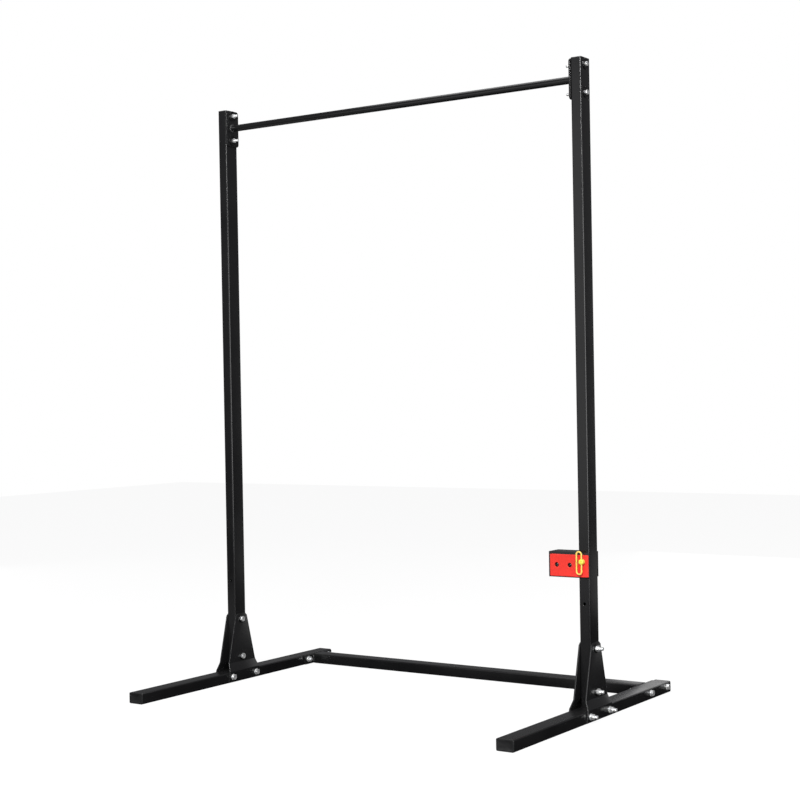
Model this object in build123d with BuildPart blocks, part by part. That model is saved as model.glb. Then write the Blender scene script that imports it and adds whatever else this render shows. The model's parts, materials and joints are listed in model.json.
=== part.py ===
"""Free-standing kip bar: two floor legs, two uprights, a rear crossmember, a round bar and a
pinned foot step.

Origin on the floor, half way between the uprights and half way along the legs.
X runs along the bar, -Y is the front, +Z is up.  All lengths are in millimetres.
"""
from build123d import *
from math import atan2, tan
import os

os.makedirs("parts", exist_ok=True)

# Overall layout
height = 2800.0            # floor to the top of the uprights
span = 1950.0              # upright centre to upright centre
leg_length = 1440.0        # over the end caps
cross_y = 596.0            # centre line of the rear crossmember
bar_z = 2713.0             # centre line of the round bar
bar_dia = 32.0

# One rectangular tube is used for the legs, the uprights and the crossmember
tube_wide, tube_narrow, tube_wall, tube_corner = 80.0, 50.0, 3.0, 6.0
bore_corner = tube_corner - tube_wall

# End caps
cap_flange, cap_plug, cap_wall, cap_gap = 4.0, 15.0, 3.0, 0.1

# Gusset plates: flat on the upright, stepped outwards onto the wider floor leg
gusset_t = 6.0
gusset_top, gusset_bottom = 328.0, 4.0
gusset_top_half, gusset_foot_half = 42.0, 122.0
gusset_corner_y, gusset_corner_z = 14.0, 11.0
bend_high, bend_low, bend_radius = 92.0, 54.0, 8.0
upright_bolt_z = (118.0, 301.0)
leg_bolt_y, leg_bolt_z = 88.0, 28.0

# Flanges welded to the ends of the crossmember and of the bar
cross_flange_t, cross_flange_half, cross_flange_edge = 8.0, 115.0, 2.0
cross_bolt_offset = 85.0
bar_flange_t, bar_flange_half, bar_flange_low, bar_flange_high = 8.0, 44.0, 2624.0, 2798.0
bar_flange_corner = 15.0
bar_bolt_z = (bar_z - 60.0, bar_z + 60.0)
weld_leg = 6.0

# Fastener sizes: shank, clearance hole, across flats, head height, nut height, washer bore
m12 = (12.0, 13.0, 19.0, 7.5, 10.8, 13.2)
m16 = (16.0, 17.0, 24.0, 10.0, 13.0, 17.2)
washer_t, washer_small, washer_large, washer_bar = 3.0, 30.0, 37.0, 50.0
base_tail, cross_tail, bar_tail = 17.0, 6.0, 19.0
base_hole, bar_hole = m16[1], m12[1]

# Foot step, carried on the inner side of the right upright
step_end_x, step_low, step_high, step_wall = 808.0, 602.0, 710.0, 4.0
step_gap = 0.3             # running gap between the step and the upright
face_left, face_right, face_low, face_high, face_t = 818.0, 1000.0, 606.0, 700.0, 5.7
screw_x, screw_z, screw_recess, screw_head, screw_head_h = (850.0, 912.0), 655.0, 20.0, 17.5, 5.0
screw_shank = 10.0

# Pull pin and its loop handle
pin_z, pin_dia, pin_guide, pin_socket = 672.0, 12.0, 12.16, 13.0
spare_hole_z = 492.0
pin_tip_y, knob_dia, knob_len, knob_gap = -10.0, 23.0, 20.0, 1.5
loop_y, loop_dia, loop_eye, loop_drop = -62.0, 7.0, 7.8, 5.0
loop_half_width, loop_straight = 11.75, 71.5

# Derived positions
side_x = span / 2
upright_half_x, upright_half_y = tube_narrow / 2, tube_wide / 2
leg_half_x, leg_high = tube_wide / 2, tube_narrow
cross_end = side_x - leg_half_x - cross_flange_t
flange_face = side_x - upright_half_x - bar_flange_t
sides = {"left": -1, "right": 1}


def write(part, name):
    """Label a finished piece and write it as its own STEP file."""
    part.label = name
    export_step(part, f"parts/{name}.step")


def tube(plane, width, depth, length):
    """Rounded rectangular tube extruded from the plane, hollow along its whole length."""
    with BuildPart() as body:
        with BuildSketch(plane):
            RectangleRounded(width, depth, tube_corner)
            RectangleRounded(width - 2 * tube_wall, depth - 2 * tube_wall, bore_corner,
                             mode=Mode.SUBTRACT)
        extrude(amount=length)
    return body.part


def end_cap(plane, width, depth):
    """Plastic cap: a rounded flange on the plane with a hollow plug behind it."""
    plug_w, plug_d = width - 2 * tube_wall - 2 * cap_gap, depth - 2 * tube_wall - 2 * cap_gap
    with BuildPart() as cap:
        with BuildSketch(plane):
            RectangleRounded(width, depth, tube_corner)
        extrude(amount=cap_flange)
        outer_face = cap.faces().filter_by(lambda f: f.normal_at().dot(plane.z_dir) > 0.99)
        chamfer(outer_face.edges(), length=1.0)
        with BuildSketch(plane):
            RectangleRounded(plug_w, plug_d, bore_corner)
            RectangleRounded(plug_w - 2 * cap_wall, plug_d - 2 * cap_wall, 1.0,
                             mode=Mode.SUBTRACT)
        extrude(amount=-cap_plug)
    return cap.part


def gusset(centre_x, side):
    """Plate stepped outwards at its foot and cut to a trapezoid with clipped top corners.

    side is +1 for a plate on the +X side of the upright and -1 for the other side.
    """
    inner = [(upright_half_x, gusset_top), (upright_half_x, bend_high),
             (leg_half_x, bend_low), (leg_half_x, gusset_bottom)]
    slope = atan2(leg_half_x - upright_half_x, bend_high - bend_low)
    rise = gusset_t * tan(slope / 2)
    outer = [(leg_half_x + gusset_t, gusset_bottom), (leg_half_x + gusset_t, bend_low + rise),
             (upright_half_x + gusset_t, bend_high + rise), (upright_half_x + gusset_t, gusset_top)]
    profile = [(centre_x + side * x, z) for x, z in inner + outer]
    clip_y = gusset_top_half - gusset_corner_y
    outline = [(gusset_foot_half, gusset_bottom), (gusset_top_half, gusset_top - gusset_corner_z),
               (clip_y, gusset_top), (-clip_y, gusset_top),
               (-gusset_top_half, gusset_top - gusset_corner_z), (-gusset_foot_half, gusset_bottom)]
    with BuildPart() as plate:
        with BuildSketch(Plane.XZ):
            with BuildLine():
                Polyline(*profile, close=True)
            make_face()
        extrude(amount=gusset_foot_half, both=True)
        bends = plate.edges().filter_by(Axis.Y).filter_by_position(Axis.Z, bend_low - 5,
                                                                   bend_high + 5)
        fillet(bends, radius=bend_radius)
        with BuildSketch(Plane.YZ.offset(centre_x)):
            with BuildLine():
                Polyline(*outline, close=True)
            make_face()
        extrude(amount=leg_half_x + 2 * gusset_t, both=True, mode=Mode.INTERSECT)
        with BuildSketch(Plane.YZ.offset(centre_x)):
            with Locations(*[(0, z) for z in upright_bolt_z],
                           (-leg_bolt_y, leg_bolt_z), (leg_bolt_y, leg_bolt_z)):
                Circle(base_hole / 2)
        extrude(amount=leg_half_x + 2 * gusset_t, both=True, mode=Mode.SUBTRACT)
    return plate.part


def bolt_group(name, thread, start, end, spots, washer_dia, tail):
    """Through bolts along X with two washers and a nut each, of one thread size.

    start is the X of the surface under the head and end that of the surface under the nut.
    The bolts, the washers and the nuts are three pieces, each a group of separate solids.
    """
    bolt_dia, _, head_af, head_h, nut_h, washer_hole = thread
    way = 1 if end > start else -1
    under_head = start - way * washer_t
    under_nut = end + way * washer_t
    head_plane = Plane(origin=(under_head, 0, 0), x_dir=(0, 1, 0), z_dir=(way, 0, 0))
    nut_plane = Plane(origin=(under_nut, 0, 0), x_dir=(0, 1, 0), z_dir=(way, 0, 0))
    places = [(y, way * z) for y, z in spots]
    length = abs(under_nut - under_head) + nut_h + tail
    with BuildPart() as bolts:
        with BuildSketch(head_plane):
            with Locations(*places):
                RegularPolygon(head_af / 2, 6, major_radius=False)
        extrude(amount=-head_h)
        with BuildSketch(head_plane):
            with Locations(*places):
                Circle(bolt_dia / 2)
        extrude(amount=length)
        tips = bolts.edges().filter_by(GeomType.CIRCLE).group_by(Axis.X)[-1 if way > 0 else 0]
        chamfer(tips, length=1.2)
    with BuildPart() as nuts:
        with BuildSketch(nut_plane):
            with Locations(*places):
                RegularPolygon(head_af / 2, 6, major_radius=False)
                Circle(bolt_dia / 2, mode=Mode.SUBTRACT)
        extrude(amount=nut_h)
    with BuildPart() as washers:
        for plane in (head_plane, nut_plane):
            with BuildSketch(plane):
                with Locations(*places):
                    Circle(washer_dia / 2)
                    Circle(washer_hole / 2, mode=Mode.SUBTRACT)
            extrude(amount=washer_t if plane is head_plane else -washer_t)
    write(bolts.part, name + "_bolts")
    write(nuts.part, name + "_nuts")
    write(washers.part, name + "_washers")


# ---------------------------------------------------------------- floor legs and uprights
for side, sign in sides.items():
    centre = sign * side_x

    # Floor leg, wide side down, with through holes for the gussets and the crossmember flange
    leg_end = leg_length / 2 - cap_flange
    leg_plane = Plane(origin=(centre, -leg_end, leg_high / 2), x_dir=(1, 0, 0), z_dir=(0, 1, 0))
    with BuildPart() as leg:
        add(tube(leg_plane, tube_wide, tube_narrow, 2 * leg_end))
        with BuildSketch(Plane.YZ.offset(centre)):
            with Locations((-leg_bolt_y, leg_bolt_z), (leg_bolt_y, leg_bolt_z),
                           (cross_y - cross_bolt_offset, leg_bolt_z),
                           (cross_y + cross_bolt_offset, leg_bolt_z)):
                Circle(base_hole / 2)
        extrude(amount=tube_wide, both=True, mode=Mode.SUBTRACT)
    write(leg.part, f"{side}_floor_leg")

    front_plane = Plane(origin=(centre, -leg_end, leg_high / 2), x_dir=(1, 0, 0), z_dir=(0, -1, 0))
    rear_plane = Plane(origin=(centre, leg_end, leg_high / 2), x_dir=(1, 0, 0), z_dir=(0, 1, 0))
    write(end_cap(front_plane, tube_wide, tube_narrow), f"{side}_leg_front_cap")
    write(end_cap(rear_plane, tube_wide, tube_narrow), f"{side}_leg_rear_cap")

    # Upright, wide side along Y, standing on the leg
    upright_top = height - cap_flange
    with BuildPart() as upright:
        add(tube(Plane(origin=(centre, 0, leg_high)), tube_narrow, tube_wide,
                 upright_top - leg_high))
        with BuildSketch(Plane.YZ.offset(centre)):
            with Locations(*[(0, z) for z in upright_bolt_z]):
                Circle(base_hole / 2)
            with Locations(*[(0, z) for z in bar_bolt_z]):
                Circle(bar_hole / 2)
        extrude(amount=tube_wide, both=True, mode=Mode.SUBTRACT)
        pin_holes = [spare_hole_z] if side == "left" else [spare_hole_z, pin_z]
        with BuildSketch(Plane.XZ.offset(upright_half_y + 1)):
            with Locations(*[(centre, z) for z in pin_holes]):
                Circle(pin_socket / 2)
        extrude(amount=-2 * tube_wall, mode=Mode.SUBTRACT)
    write(upright.part, f"{side}_upright")
    write(end_cap(Plane(origin=(centre, 0, upright_top)), tube_narrow, tube_wide),
          f"{side}_upright_top_cap")

    # Gusset plates on both sides of the upright
    for place, facing in (("inner", -sign), ("outer", sign)):
        write(gusset(centre, facing), f"{side}_{place}_gusset")

    # Heads on the inner side of each frame, nuts on the outer side
    reach = sign * (upright_half_x + gusset_t)
    bolt_group(f"{side}_upright_gusset", m16, centre - reach, centre + reach,
               [(0, z) for z in upright_bolt_z], washer_large, base_tail)
    reach = sign * (leg_half_x + gusset_t)
    bolt_group(f"{side}_leg_gusset", m16, centre - reach, centre + reach,
               [(-leg_bolt_y, leg_bolt_z), (leg_bolt_y, leg_bolt_z)], washer_small, base_tail)

    # Crossmember flange and bar flange are bolted from outside, with their nuts inside
    bolt_group(f"{side}_crossmember", m16, sign * (side_x + leg_half_x), sign * cross_end,
               [(cross_y - cross_bolt_offset, leg_bolt_z),
                (cross_y + cross_bolt_offset, leg_bolt_z)], washer_small, cross_tail)
    bolt_group(f"{side}_bar", m12, sign * (side_x + upright_half_x), sign * flange_face,
               [(0, z) for z in bar_bolt_z], washer_bar, bar_tail)


# ---------------------------------------------------------------- rear crossmember
cross_plane = Plane(origin=(-cross_end, cross_y, leg_high / 2), x_dir=(0, 1, 0), z_dir=(1, 0, 0))
with BuildPart() as crossmember:
    add(tube(cross_plane, tube_wide, tube_narrow, 2 * cross_end))
write(crossmember.part, "rear_crossmember")

for side, sign in sides.items():
    with BuildPart() as cross_flange:
        with BuildSketch(Plane.YZ.offset(sign * cross_end)):
            with Locations((cross_y, leg_high / 2)):
                RectangleRounded(2 * cross_flange_half, leg_high - 2 * cross_flange_edge, 6.0)
            with Locations((cross_y - cross_bolt_offset, leg_bolt_z),
                           (cross_y + cross_bolt_offset, leg_bolt_z)):
                Circle(base_hole / 2, mode=Mode.SUBTRACT)
        extrude(amount=sign * cross_flange_t)
    write(cross_flange.part, f"{side}_crossmember_flange")

    # Upright fillet welds in front of and behind the tube
    with BuildPart() as cross_weld:
        for way in (-1, 1):
            root_y = cross_y + way * tube_wide / 2
            with BuildSketch(Plane.XY.offset(7.0)):
                with BuildLine():
                    Polyline((sign * cross_end, root_y), (sign * (cross_end - weld_leg), root_y),
                             (sign * (cross_end - 0.35 * weld_leg), root_y + way * 0.65 * weld_leg),
                             (sign * cross_end, root_y + way * weld_leg), close=True)
                make_face()
            extrude(amount=leg_high - 14.0)
    write(cross_weld.part, f"{side}_crossmember_weld")

# ---------------------------------------------------------------- bar and its flanges
bar_plane = Plane(origin=(-flange_face, 0, bar_z), x_dir=(0, 1, 0), z_dir=(1, 0, 0))
with BuildPart() as bar:
    with BuildSketch(bar_plane):
        Circle(bar_dia / 2)
    extrude(amount=2 * flange_face)
write(bar.part, "round_bar")

for side, sign in sides.items():
    with BuildPart() as bar_flange:
        with BuildSketch(Plane.YZ.offset(sign * flange_face)):
            with Locations((0, (bar_flange_low + bar_flange_high) / 2)):
                RectangleRounded(2 * bar_flange_half, bar_flange_high - bar_flange_low,
                                 bar_flange_corner)
            with Locations(*[(0, z) for z in bar_bolt_z]):
                Circle(bar_hole / 2, mode=Mode.SUBTRACT)
        extrude(amount=sign * bar_flange_t)
    write(bar_flange.part, f"{side}_bar_flange")

    # Fillet weld all round the bar
    with BuildPart() as bar_weld:
        with BuildSketch(Plane.XZ):
            with BuildLine():
                Polyline((sign * flange_face, bar_z + bar_dia / 2),
                         (sign * (flange_face - weld_leg), bar_z + bar_dia / 2),
                         (sign * (flange_face - 0.35 * weld_leg),
                          bar_z + bar_dia / 2 + 0.65 * weld_leg),
                         (sign * flange_face, bar_z + bar_dia / 2 + weld_leg), close=True)
            make_face()
        revolve(axis=Axis((0, 0, bar_z), (1, 0, 0)))
    write(bar_weld.part, f"{side}_bar_weld")

# ---------------------------------------------------------------- foot step
# Closed sheet box against the inner side of the upright, with a cheek in front of the upright
# and one behind it.
box_end = side_x - upright_half_x - step_gap
cheek_in, cheek_out = upright_half_y + step_gap, upright_half_y + step_gap + step_wall
step_mid_z, step_tall = (step_low + step_high) / 2, step_high - step_low
with BuildPart() as step:
    with BuildSketch(Plane.XY.offset(step_low)):
        with Locations(((step_end_x + box_end) / 2, 0)):
            Rectangle(box_end - step_end_x, 2 * cheek_out)
    extrude(amount=step_tall)
    corners = step.edges().filter_by(Axis.Z).group_by(Axis.X)[0]
    fillet(corners, radius=step_wall)
    with BuildSketch(Plane.XY.offset(step_low + step_wall)):
        with Locations(((step_end_x + box_end) / 2, 0)):
            Rectangle(box_end - step_end_x - 2 * step_wall, 2 * cheek_in)
    extrude(amount=step_tall - 2 * step_wall, mode=Mode.SUBTRACT)
    with BuildSketch(Plane.XY.offset(step_low)):
        with Locations(((box_end + face_right) / 2 - 1, -(cheek_in + cheek_out) / 2),
                       ((box_end + face_right) / 2 - 1, (cheek_in + cheek_out) / 2)):
            Rectangle(face_right - box_end + 2, step_wall)
    extrude(amount=step_tall)
    with BuildSketch(Plane.XZ.offset(upright_half_y)):
        with Locations((side_x, pin_z)):
            Circle(pin_guide / 2)
        with Locations(*[(x, screw_z) for x in screw_x]):
            Circle(screw_shank / 2 + 0.2)
    extrude(amount=step_wall + 1, mode=Mode.SUBTRACT)
write(step.part, "foot_step_body")

with BuildPart() as face_plate:
    with BuildSketch(Plane.XZ.offset(cheek_out)):
        with Locations(((face_left + face_right) / 2, (face_low + face_high) / 2)):
            RectangleRounded(face_right - face_left, face_high - face_low, 4.0)
        with Locations((side_x, pin_z)):
            Circle(pin_guide / 2, mode=Mode.SUBTRACT)
        with Locations(*[(x, screw_z) for x in screw_x]):
            Circle(screw_recess / 2, mode=Mode.SUBTRACT)
    extrude(amount=face_t)
    front_rim = face_plate.faces().sort_by(Axis.Y)[0].outer_wire().edges()
    fillet(front_rim, radius=1.5)
write(face_plate.part, "foot_step_face_plate")

with BuildPart() as screws:
    with BuildSketch(Plane.XZ.offset(cheek_out)):
        with Locations(*[(x, screw_z) for x in screw_x]):
            Circle(screw_head / 2)
    extrude(amount=screw_head_h)
    domes = screws.edges().filter_by(GeomType.CIRCLE).group_by(Axis.Y)[0]
    fillet(domes, radius=2.5)
    with BuildSketch(Plane.XZ.offset(cheek_out + screw_head_h)):
        with Locations(*[(x, screw_z) for x in screw_x]):
            RegularPolygon(3.0, 6, major_radius=False)
    extrude(amount=-3.0, mode=Mode.SUBTRACT)
    with BuildSketch(Plane.XZ.offset(cheek_out)):
        with Locations(*[(x, screw_z) for x in screw_x]):
            Circle(screw_shank / 2)
    extrude(amount=-18.0)
write(screws.part, "foot_step_screws")

with BuildPart() as screw_nuts:
    with BuildSketch(Plane.XZ.offset(cheek_in)):
        with Locations(*[(x, screw_z) for x in screw_x]):
            RegularPolygon(8.0, 6, major_radius=False)
            Circle(screw_shank / 2, mode=Mode.SUBTRACT)
    extrude(amount=-8.4)
write(screw_nuts.part, "foot_step_screw_nuts")

# ---------------------------------------------------------------- pull pin
knob_back = cheek_out + face_t + knob_gap
with BuildPart() as pin:
    with BuildSketch(Plane.XZ.offset(-pin_tip_y)):
        with Locations((side_x, pin_z)):
            Circle(pin_dia / 2)
    extrude(amount=knob_back + pin_tip_y)
    tip = pin.edges().filter_by(GeomType.CIRCLE).group_by(Axis.Y)[-1]
    chamfer(tip, length=2.5)
write(pin.part, "pull_pin_shaft")

with BuildPart() as knob:
    with BuildSketch(Plane.XZ.offset(knob_back)):
        with Locations((side_x, pin_z)):
            Circle(knob_dia / 2)
    extrude(amount=knob_len)
    fillet(knob.edges().filter_by(GeomType.CIRCLE).group_by(Axis.Y)[0], radius=5.0)
    fillet(knob.edges().filter_by(GeomType.CIRCLE).group_by(Axis.Y)[-1], radius=1.5)
    with BuildSketch(Plane.XY.offset(pin_z - knob_dia)):
        with Locations((side_x, loop_y)):
            Circle(loop_eye / 2)
    extrude(amount=2 * knob_dia, mode=Mode.SUBTRACT)
write(knob.part, "pull_pin_knob")

# Oval wire loop whose straight limb runs up through the eye of the knob
limb_x, loop_z = side_x, pin_z - loop_drop
far_x = limb_x - 2 * loop_half_width
with BuildPart() as loop:
    with BuildLine(Plane.XZ.offset(-loop_y)) as oval:
        low, top = loop_z - loop_straight / 2, loop_z + loop_straight / 2
        Line((limb_x, low), (limb_x, top))
        ThreePointArc((limb_x, top), ((limb_x + far_x) / 2, top + loop_half_width), (far_x, top))
        Line((far_x, top), (far_x, low))
        ThreePointArc((far_x, low), ((limb_x + far_x) / 2, low - loop_half_width), (limb_x, low))
    with BuildSketch(Plane(origin=(limb_x, loop_y, low), z_dir=(0, 0, 1))):
        Circle(loop_dia / 2)
    sweep(path=oval.wire())
write(loop.part, "pull_pin_loop")
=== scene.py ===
"""Looks of a free-standing kip bar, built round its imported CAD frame.

The frame gives every place and size.  Tubes, plates, caps and welds are surfaces worked out with
numpy, fasteners are profiles turned about their axes, and every finish is a procedural material
on Object coordinates.  Lengths are in metres.
"""
import json

import bmesh
import bpy
import numpy as np
from mathutils import Matrix, Vector


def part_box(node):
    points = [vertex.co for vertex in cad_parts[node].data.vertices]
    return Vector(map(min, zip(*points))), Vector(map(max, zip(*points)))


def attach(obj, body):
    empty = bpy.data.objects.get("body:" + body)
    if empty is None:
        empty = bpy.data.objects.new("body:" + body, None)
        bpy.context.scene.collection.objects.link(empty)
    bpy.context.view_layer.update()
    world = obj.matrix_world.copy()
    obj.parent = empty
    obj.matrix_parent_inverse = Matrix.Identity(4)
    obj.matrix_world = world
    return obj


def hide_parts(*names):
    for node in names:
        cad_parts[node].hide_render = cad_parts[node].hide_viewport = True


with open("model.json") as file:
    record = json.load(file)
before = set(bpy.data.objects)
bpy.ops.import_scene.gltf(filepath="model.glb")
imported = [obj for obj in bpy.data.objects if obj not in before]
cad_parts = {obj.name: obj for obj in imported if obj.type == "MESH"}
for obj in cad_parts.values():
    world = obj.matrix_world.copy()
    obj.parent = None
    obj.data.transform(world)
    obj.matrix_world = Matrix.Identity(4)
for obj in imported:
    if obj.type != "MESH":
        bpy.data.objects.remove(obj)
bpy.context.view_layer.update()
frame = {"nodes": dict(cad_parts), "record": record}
record = frame["record"]
body_of = {n: b for b, members in record["behaviour"]["bodies"].items() for n in members}
slot_of = {s["node"]: s["material_slot"] for s in record["subparts"]}
SIDES = ("left", "right")
TURN = 2 * np.pi
SEGMENTS = 48
# Corners shallower than this many degrees are shaded smooth, for each kind of piece
TUBE_ANGLE, PLATE_ANGLE, TURNED_ANGLE, BEAD_ANGLE, WIRE_ANGLE = 35.0, 30.0, 26.0, 50.0, 60.0
X, Y, Z = np.eye(3)


# ------------------------------------------------------------------ mesh helpers

def box_of(node):
    """Lowest and highest corner of a CAD node as two arrays."""
    low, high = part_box(node)
    return np.array(low), np.array(high)


def quads(rows, cols, wrap_rows=False, wrap_cols=False):
    """Faces of a grid of rows x cols points, joined round where a direction wraps."""
    r, c = np.meshgrid(np.arange(rows if wrap_rows else rows - 1),
                       np.arange(cols if wrap_cols else cols - 1), indexing="ij")
    r2, c2 = (r + 1) % rows, (c + 1) % cols
    return np.stack([r * cols + c, r * cols + c2, r2 * cols + c2, r2 * cols + c],
                    axis=-1).reshape(-1, 4)


def stand_for(node, shape, parts, smooth_angle=TUBE_ANGLE):
    """A piece made of (points, faces) parts that stands for a CAD node.

    Its parts are welded and faced outwards, it is shaded smooth below an angle, and it takes
    its body, slot and finish from the node.
    """
    points, faces, start = [], [], 0
    for pts, fcs in parts:
        points.append(pts)
        faces.extend((np.asarray(f) + start).tolist() for f in fcs)
        start += len(pts)
    mesh = bpy.data.meshes.new(f"{node}_{shape}")
    mesh.from_pydata(np.concatenate(points).tolist(), [], faces)
    bm = bmesh.new()
    bm.from_mesh(mesh)
    bmesh.ops.remove_doubles(bm, verts=bm.verts, dist=1e-6)
    bmesh.ops.recalc_face_normals(bm, faces=bm.faces)
    bm.to_mesh(mesh)
    bm.free()
    mesh.shade_smooth()
    mesh.set_sharp_from_angle(angle=np.radians(smooth_angle))
    mesh.materials.append(FINISHES[slot_of[node]])
    piece = bpy.data.objects.new(mesh.name, mesh)
    bpy.context.collection.objects.link(piece)
    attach(piece, body_of[node])
    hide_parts(node)
    return piece


# ------------------------------------------------------------------ shader helpers

def new_material(name):
    """Node material with only its Principled shader and output left in it."""
    mat = bpy.data.materials.new(name)
    mat.use_nodes = True
    return mat, mat.node_tree.nodes["Principled BSDF"]


def link(tree, a, b):
    """Joins output socket a to input socket b."""
    tree.links.new(a, b)


def feed(tree, socket, value):
    """Gives an input socket a plain number, an RGB triple or another socket's output."""
    if isinstance(value, (int, float)):
        socket.default_value = value
    elif isinstance(value, tuple):
        socket.default_value = (*value, 1.0)
    else:
        link(tree, value, socket)


def object_coords(tree):
    """Object coordinates, so a pattern stays with its piece."""
    return tree.nodes.new("ShaderNodeTexCoord").outputs["Object"]


def add_group(mat, group, **values):
    """Places a shared effect in a material, with its own values."""
    node = mat.node_tree.nodes.new("ShaderNodeGroup")
    node.node_tree = group
    for key, value in values.items():
        node.inputs[key.replace("_", " ")].default_value = value
    return node


def noise(tree, vector, scale, detail, roughness=0.5):
    """A noise texture's factor on the given coordinates."""
    n = tree.nodes.new("ShaderNodeTexNoise")
    for key, value in (("Vector", vector), ("Scale", scale), ("Detail", detail),
                       ("Roughness", roughness)):
        feed(tree, n.inputs[key], value)
    return n.outputs["Fac"]


def map_range(tree, value, low, high, to_low, to_high):
    """Linear map of a value from one range to another, clamped."""
    m = tree.nodes.new("ShaderNodeMapRange")
    for key, number in (("Value", value), ("From Min", low), ("From Max", high),
                        ("To Min", to_low), ("To Max", to_high)):
        feed(tree, m.inputs[key], number)
    return m.outputs["Result"]


def math_node(tree, kind, a, b):
    """One math step on two sockets or plain numbers."""
    m = tree.nodes.new("ShaderNodeMath")
    m.operation = kind
    feed(tree, m.inputs[0], a)
    feed(tree, m.inputs[1], b)
    return m.outputs[0]


def plus(tree, a, b):
    """Sum of two sockets or plain numbers."""
    return math_node(tree, "ADD", a, b)


def times(tree, a, b):
    """Product of two sockets or plain numbers."""
    return math_node(tree, "MULTIPLY", a, b)


def mix_colour(tree, factor, a, b):
    """Mixes two colours, each a socket or an RGB triple."""
    m = tree.nodes.new("ShaderNodeMix")
    m.data_type = "RGBA"
    for slot, value in ((0, factor), (6, a), (7, b)):
        feed(tree, m.inputs[slot], value)
    return m.outputs[2]


def new_group(name, inputs, outputs):
    """Empty shader node group with named sockets; returns tree, input node and output node."""
    tree = bpy.data.node_groups.new(name, "ShaderNodeTree")
    for key, kind, value in inputs:
        socket = tree.interface.new_socket(key, in_out="INPUT", socket_type=kind)
        socket.default_value = value
    for key, kind in outputs:
        tree.interface.new_socket(key, in_out="OUTPUT", socket_type=kind)
    return tree, tree.nodes.new("NodeGroupInput"), tree.nodes.new("NodeGroupOutput")


def powder_skin_group():
    """Baked powder coat: orange-peel height, slow gloss drift and a colour drift mask.

    Peel is fine rounded noise plus a coarser and taller one; drift is large noise.
    """
    tree, gin, gout = new_group(
        "Powder skin",
        [("Peel Scale", "NodeSocketFloat", 420.0), ("Drift Scale", "NodeSocketFloat", 3.0),
         ("Gloss Low", "NodeSocketFloat", 0.3), ("Gloss High", "NodeSocketFloat", 0.4)],
        [("Height", "NodeSocketFloat"), ("Roughness", "NodeSocketFloat"),
         ("Drift", "NodeSocketFloat")])
    coords, peel = object_coords(tree), gin.outputs["Peel Scale"]
    coarser, taller = 0.3, 1.4
    fine = noise(tree, coords, peel, 1.0)
    coarse = noise(tree, coords, times(tree, peel, coarser), 2.0)
    drift = noise(tree, coords, gin.outputs["Drift Scale"], 4.0)
    gloss = map_range(tree, drift, 0.3, 0.7, gin.outputs["Gloss Low"], gin.outputs["Gloss High"])
    link(tree, plus(tree, fine, times(tree, coarse, taller)), gout.inputs["Height"])
    link(tree, gloss, gout.inputs["Roughness"])
    link(tree, drift, gout.inputs["Drift"])
    return tree


def edge_wear_group():
    """Mask of worn edges, broken up by noise, which on black hardware also places a painted
    highlight.

    Near an edge the normal of a rounded copy turns away from the surface's own, and the mask
    grows as the cosine between the two falls.
    """
    tree, gin, gout = new_group(
        "Edge wear",
        [("Radius", "NodeSocketFloat", 0.002), ("Breakup Scale", "NodeSocketFloat", 90.0)],
        [("Mask", "NodeSocketFloat")])
    rounded = tree.nodes.new("ShaderNodeBevel")
    rounded.samples = 6
    link(tree, gin.outputs["Radius"], rounded.inputs["Radius"])
    cosine = tree.nodes.new("ShaderNodeVectorMath")
    cosine.operation = "DOT_PRODUCT"
    link(tree, rounded.outputs["Normal"], cosine.inputs[0])
    link(tree, tree.nodes.new("ShaderNodeNewGeometry").outputs["Normal"], cosine.inputs[1])
    flat_cosine, edge_cosine = 0.99, 0.9
    near = map_range(tree, cosine.outputs["Value"], flat_cosine, edge_cosine, 0.0, 1.0)
    grain = noise(tree, object_coords(tree), gin.outputs["Breakup Scale"], 5.0)
    sparse, full, least = 0.40, 0.62, 0.25
    broken = map_range(tree, grain, sparse, full, least, 1.0)
    link(tree, times(tree, near, broken), gout.inputs["Mask"])
    return tree


def floor_dust_group():
    """Dust mask: more on faces that look up and near the floor, in soft patches."""
    tree, gin, gout = new_group(
        "Settled dust",
        [("Reach", "NodeSocketFloat", 0.25), ("Amount", "NodeSocketFloat", 0.3)],
        [("Mask", "NodeSocketFloat")])
    coords = object_coords(tree)
    place = tree.nodes.new("ShaderNodeSeparateXYZ")
    link(tree, coords, place.inputs[0])
    facing = tree.nodes.new("ShaderNodeSeparateXYZ")
    link(tree, tree.nodes.new("ShaderNodeNewGeometry").outputs["Normal"], facing.inputs[0])
    low_share, slope, patch_scale, least = 0.15, 0.5, 130.0, 0.25
    low = map_range(tree, place.outputs["Z"], gin.outputs["Reach"], 0.0, 0.0, 1.0)
    up = map_range(tree, facing.outputs["Z"], slope, 1.0, 0.0, 1.0)
    patch = map_range(tree, noise(tree, coords, patch_scale, 6.0, 0.7), 0.3, 0.75, least, 1.0)
    dusty = times(tree, plus(tree, times(tree, low, low_share), up), patch)
    link(tree, times(tree, dusty, gin.outputs["Amount"]), gout.inputs["Mask"])
    return tree


powder_skin = powder_skin_group()
edge_wear = edge_wear_group()
settled_dust = floor_dust_group()
# Between these two levels of a slow pattern, one tint passes into the other
PATCHES = (0.35, 0.65)
# How far the roughness drifts below and above its value, on coats and on metal or plastic
COAT_DRIFT, BARE_DRIFT = (0.05, 0.07), (0.06, 0.08)
PEEL_MM, METAL_PATCH_SCALE, FLOW_SCALE = 0.03, 160.0, 24.0


def dress(tree, shader, colour, rough, height, height_mm):
    """Gives a shader its colour and roughness, and a height through a Bump node."""
    link(tree, colour, shader.inputs["Base Color"])
    link(tree, rough, shader.inputs["Roughness"])
    bump = tree.nodes.new("ShaderNodeBump")
    bump.inputs["Distance"].default_value = height_mm / 1000
    link(tree, height, bump.inputs["Height"])
    link(tree, bump.outputs["Normal"], shader.inputs["Normal"])


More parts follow.
